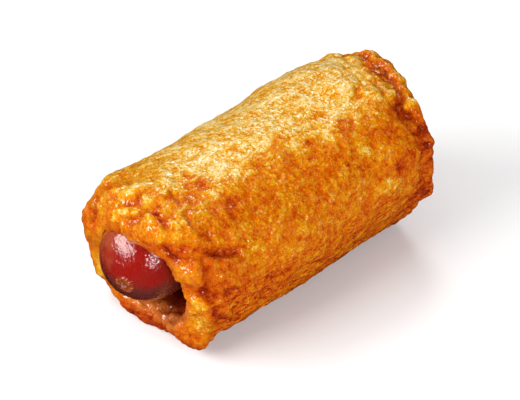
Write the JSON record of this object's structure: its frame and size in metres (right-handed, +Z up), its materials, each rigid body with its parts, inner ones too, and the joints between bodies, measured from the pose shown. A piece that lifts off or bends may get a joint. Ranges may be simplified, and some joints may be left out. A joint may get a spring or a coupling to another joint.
{
  "type": "sausage roll",
  "caption": "Fried sausage roll: a sausage in a thick crinkled golden wrapper, its rounded tip showing at the open front beside a folded ear.",
  "frame": {"origin": "centre of the bounding box of the whole roll, on the surface it rests on", "axes": "+Y along the roll from its open front to its folded rear, +X towards the side with the ear, +Z up"},
  "size_m": [0.0516, 0.0982, 0.0431],
  "materials": {
    "wrapper": "oily crinkled fried skin, golden with orange-brown creases",
    "sausage": "glossy smoked casing"
  },
  "bodies": {
    "root": {"wrapper": "wrapper", "sausage": "sausage"}
  },
  "joints": []
}
